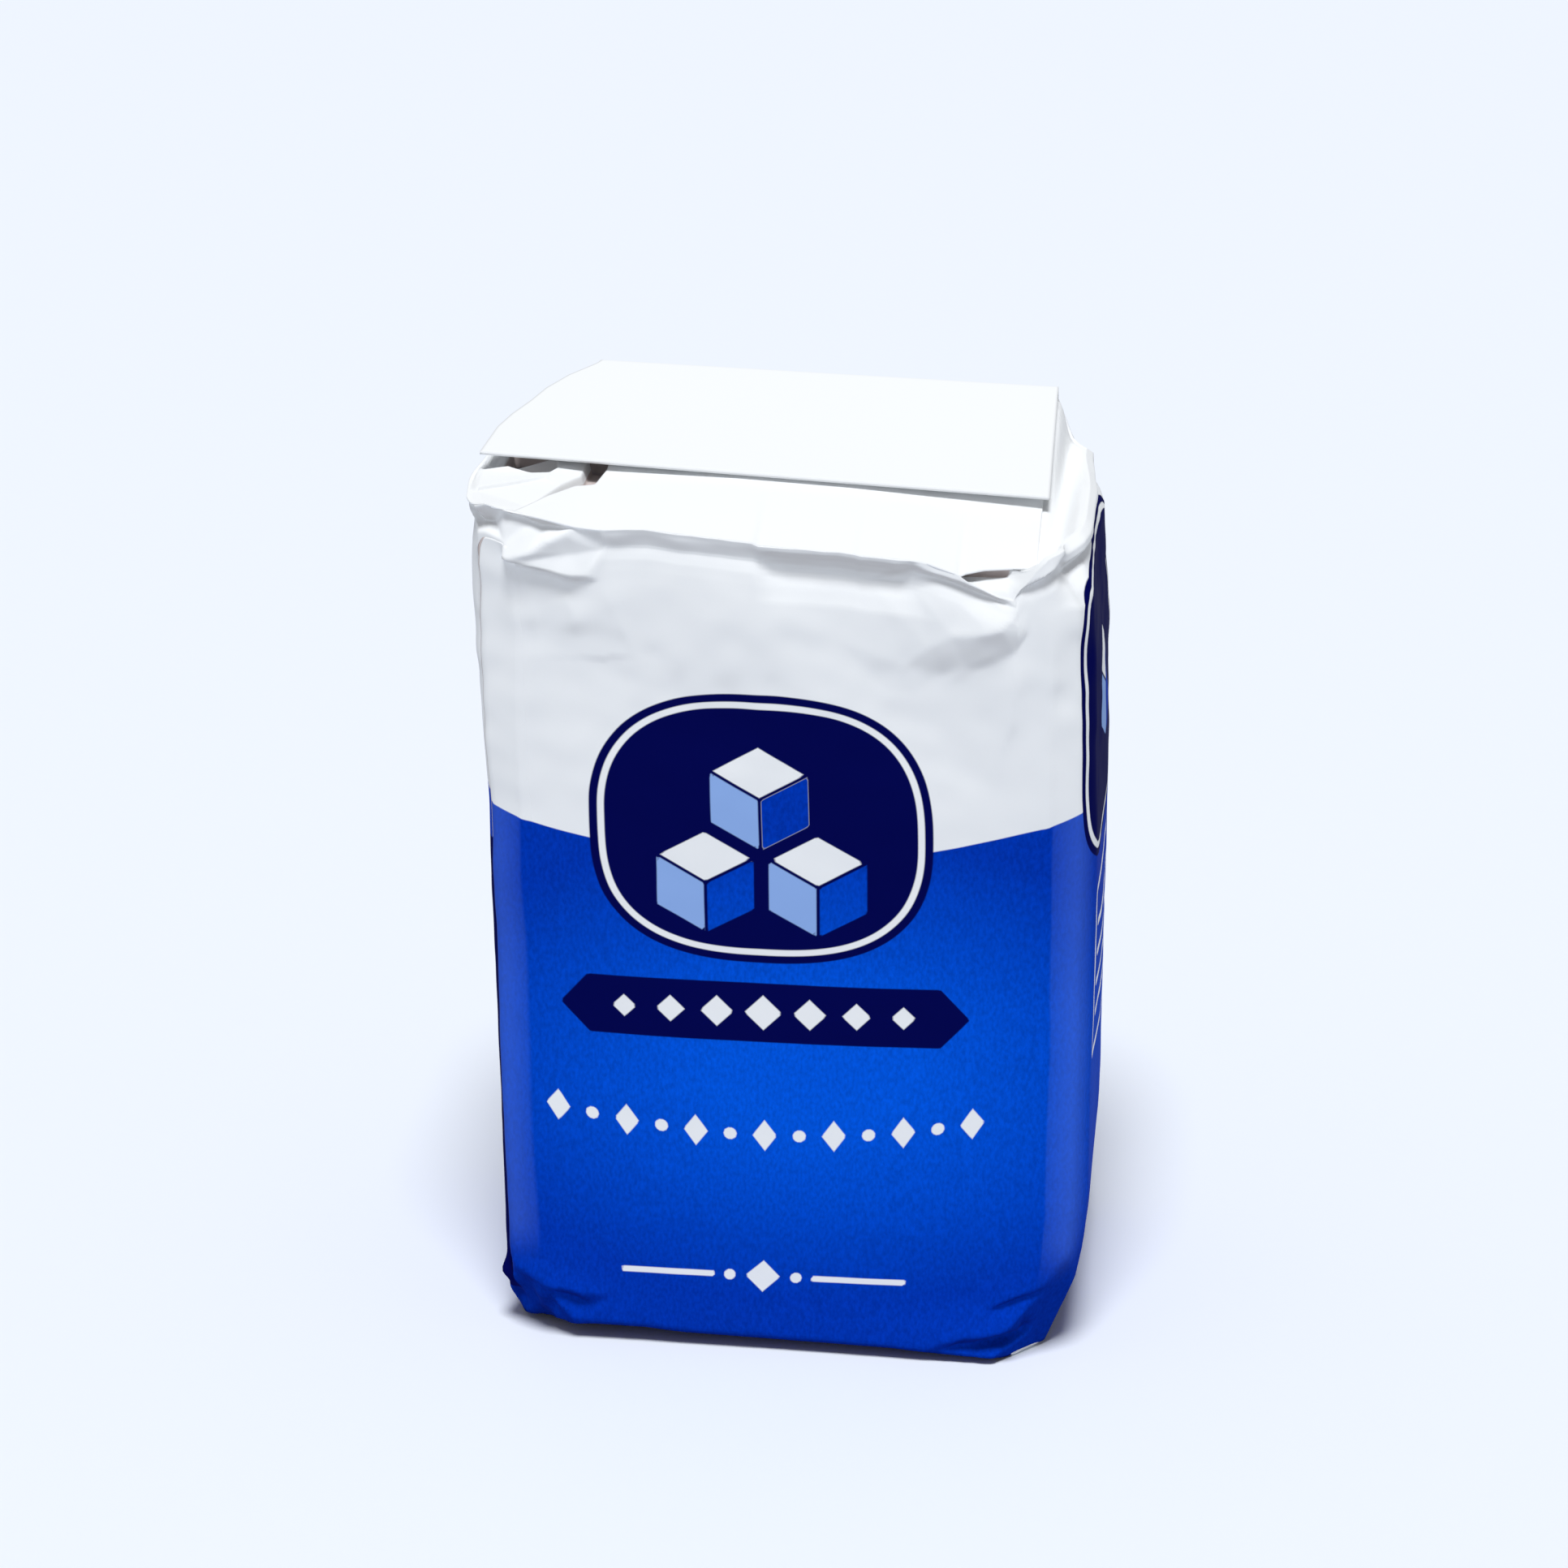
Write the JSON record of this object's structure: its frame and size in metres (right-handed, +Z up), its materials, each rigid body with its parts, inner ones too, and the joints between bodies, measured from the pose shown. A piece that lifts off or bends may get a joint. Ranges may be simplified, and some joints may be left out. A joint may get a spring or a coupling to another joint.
{
  "type": "paper bag of sugar",
  "caption": "Full upright paper bag of granulated sugar with a block bottom, a creased rim, tucked gussets and a closing fin folded forwards over the top.",
  "frame": {"origin": "middle of the bag's outer box, on the ground", "axes": "+Z up; the printed front faces -Y; the bag's right-hand side, seen from the front, faces +X"},
  "size_m": [0.1114, 0.0704, 0.1686],
  "materials": {
    "bag_paper": "white kraft paper, satin coated, with a blue printed field on its lower part"
  },
  "bodies": {
    "root": {"paper_bag": "bag_paper"}
  },
  "joints": []
}
